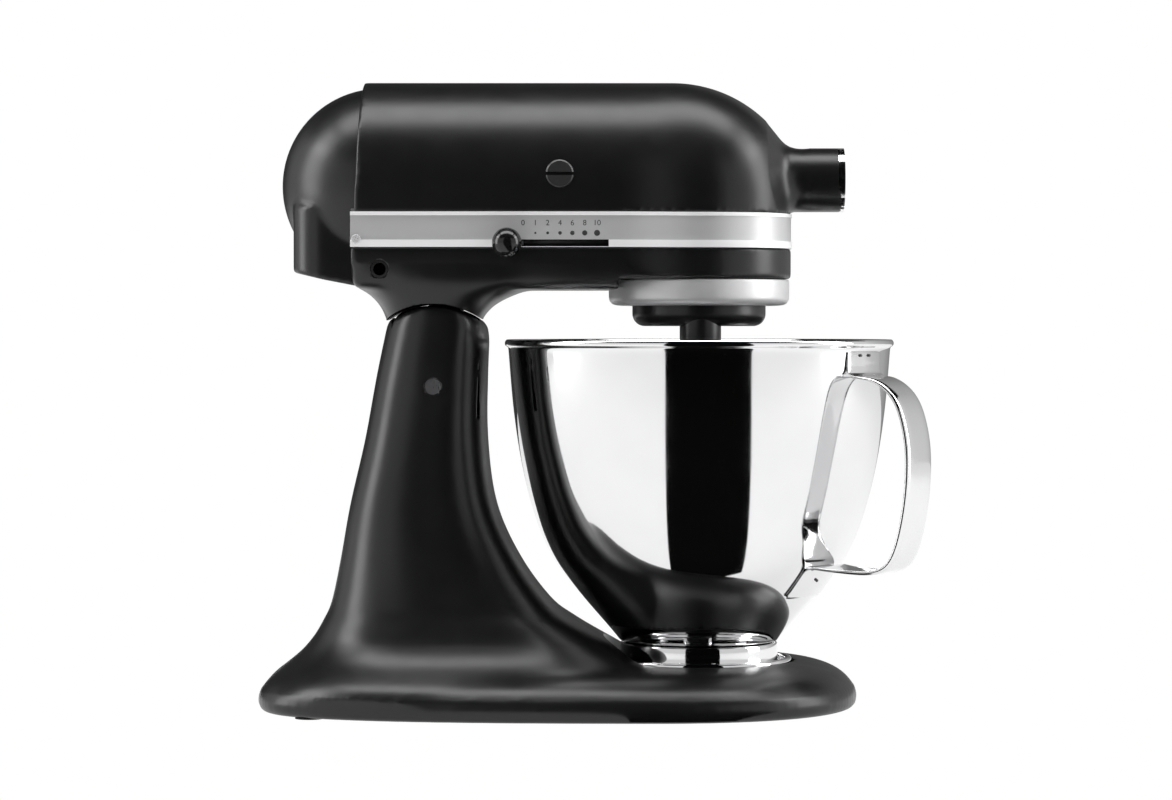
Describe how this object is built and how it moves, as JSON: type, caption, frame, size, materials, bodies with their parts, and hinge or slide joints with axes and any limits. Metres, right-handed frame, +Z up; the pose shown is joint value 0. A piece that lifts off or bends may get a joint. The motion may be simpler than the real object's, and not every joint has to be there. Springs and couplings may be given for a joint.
{
  "type": "stand mixer",
  "caption": "Tilt-head stand mixer with a flared pedestal, planetary drive, accessory hub and a polished steel bowl with a strap handle.",
  "frame": {"origin": "on the table, at the centre of the mixer's outline from above", "axes": "+X from the back to the accessory hub, +Z up, speed lever on the -Y side"},
  "size_m": [0.3784, 0.2206, 0.3532],
  "materials": {
    "black_enamel": "satin",
    "carrier_enamel": "satin",
    "black_rubber": "matte",
    "black_plastic": "gloss",
    "polished_steel": "polished",
    "satin_metal": "satin",
    "steel": "satin",
    "lamination": "matte",
    "copper": "satin",
    "carbon": "matte",
    "cast_aluminium": "matte",
    "bronze": "satin",
    "circuit_board": "matte"
  },
  "bodies": {
    "stand": {"pedestal": "black_enamel", "rubber_feet": "black_rubber", "bowl_clamp_plate": "polished_steel", "clamp_plate_screws": "steel", "hinge_pin": "steel", "hinge_pin_set_screw": "steel", "lock_catch": "steel"},
    "head": {"upper_housing": "black_enamel", "lower_housing": "black_enamel", "rear_cover": "black_enamel", "rear_cover_screw": "steel", "trim_band": "satin_metal", "trim_band_screws": "steel", "housing_screws": "steel", "cord_gland": "black_rubber", "drip_ring": "satin_metal", "motor_stator": "lamination", "stator_coils": "copper", "front_bearing_bracket": "cast_aluminium", "rear_bearing_bracket": "cast_aluminium", "front_bearing": "steel", "rear_bearing": "steel", "brush_caps": "black_plastic", "brush_holders": "black_plastic", "carbon_brushes": "carbon", "brush_springs": "steel", "speed_control_board": "circuit_board", "centre_shaft_bush": "bronze", "hub_bush": "bronze", "hub_cover_pin": "steel", "ring_gear": "steel"},
    "armature": {"armature_shaft": "steel", "armature_core": "lamination", "commutator": "copper", "worm": "steel", "cooling_fan": "black_plastic"},
    "pinion": {"drive_pinion": "steel", "worm_wheel": "bronze", "pinion_shaft": "steel"},
    "planetary": {"centre_gear": "steel", "centre_bevel_gear": "steel", "centre_shaft": "steel", "planet_carrier": "carrier_enamel", "carrier_pin": "steel", "beater_shaft_bush": "bronze"},
    "beater": {"planet_pinion": "steel", "beater_shaft": "steel", "attachment_pin": "steel", "beater_shaft_washer": "steel"},
    "hub_drive": {"hub_bevel_gear": "steel", "hub_drive_socket": "steel"},
    "hub_flap": {"hub_cover": "polished_steel"},
    "hub_screw": {"hub_knob": "black_plastic"},
    "speed_lever": {"speed_lever_knob": "black_plastic", "speed_lever_link": "steel"},
    "lock_lever": {"lock_lever_knob": "black_plastic", "lock_lever_link": "steel"},
    "bowl": {"bowl_shell": "polished_steel", "bowl_foot_ring": "polished_steel", "bowl_handle": "polished_steel"}
  },
  "joints": [
    {"name": "head_tilt", "type": "hinge", "parent": "stand", "child": "head", "pos_m": [-0.0903, 0, 0.182], "axis": [0, -1, 0], "range_deg": [0, 22]},
    {"name": "planetary_spin", "type": "hinge", "parent": "head", "child": "planetary", "pos_m": [0.059, 0, 0.25], "axis": [0, 0, 1], "continuous": true},
    {"name": "beater_spin", "type": "hinge", "parent": "planetary", "child": "beater", "pos_m": [0.059, -0.0255, 0.2], "axis": [0, 0, 1], "continuous": true},
    {"name": "pinion_spin", "type": "hinge", "parent": "head", "child": "pinion", "pos_m": [0.02177, 0.0225, 0.28], "axis": [0, 0, 1], "continuous": true},
    {"name": "armature_spin", "type": "hinge", "parent": "head", "child": "armature", "pos_m": [-0.08, 0, 0.2996], "axis": [1, 0, 0], "continuous": true},
    {"name": "hub_drive_spin", "type": "hinge", "parent": "head", "child": "hub_drive", "pos_m": [0.09, 0, 0.2984], "axis": [1, 0, 0], "continuous": true},
    {"name": "speed_slide", "type": "slide", "parent": "head", "child": "speed_lever", "axis": [1, 0, 0], "range_m": [0, 0.0404]},
    {"name": "head_lock", "type": "slide", "parent": "head", "child": "lock_lever", "axis": [-1, 0, 0], "range_m": [0, 0.0385]},
    {"name": "hub_cover_flip", "type": "hinge", "parent": "head", "child": "hub_flap", "pos_m": [0.139, 0, 0.3144], "axis": [0, -1, 0], "range_deg": [0, 95]},
    {"name": "hub_knob_turn", "type": "hinge", "parent": "head", "child": "hub_screw", "pos_m": [0.124, 0.03, 0.2984], "axis": [0, 1, 0], "range_deg": [0, 360]},
    {"name": "bowl_turn", "type": "hinge", "parent": "stand", "child": "bowl", "pos_m": [0.059, 0, 0.03], "axis": [0, 0, 1], "range_deg": [0, 35]}
  ],
  "couplings": [
    {"joint": "beater_spin", "follows": "planetary_spin", "ratio": -3.125},
    {"joint": "pinion_spin", "follows": "planetary_spin", "ratio": -3.8333},
    {"joint": "armature_spin", "follows": "planetary_spin", "ratio": 76.667},
    {"joint": "hub_drive_spin", "follows": "planetary_spin", "ratio": 2}
  ]
}
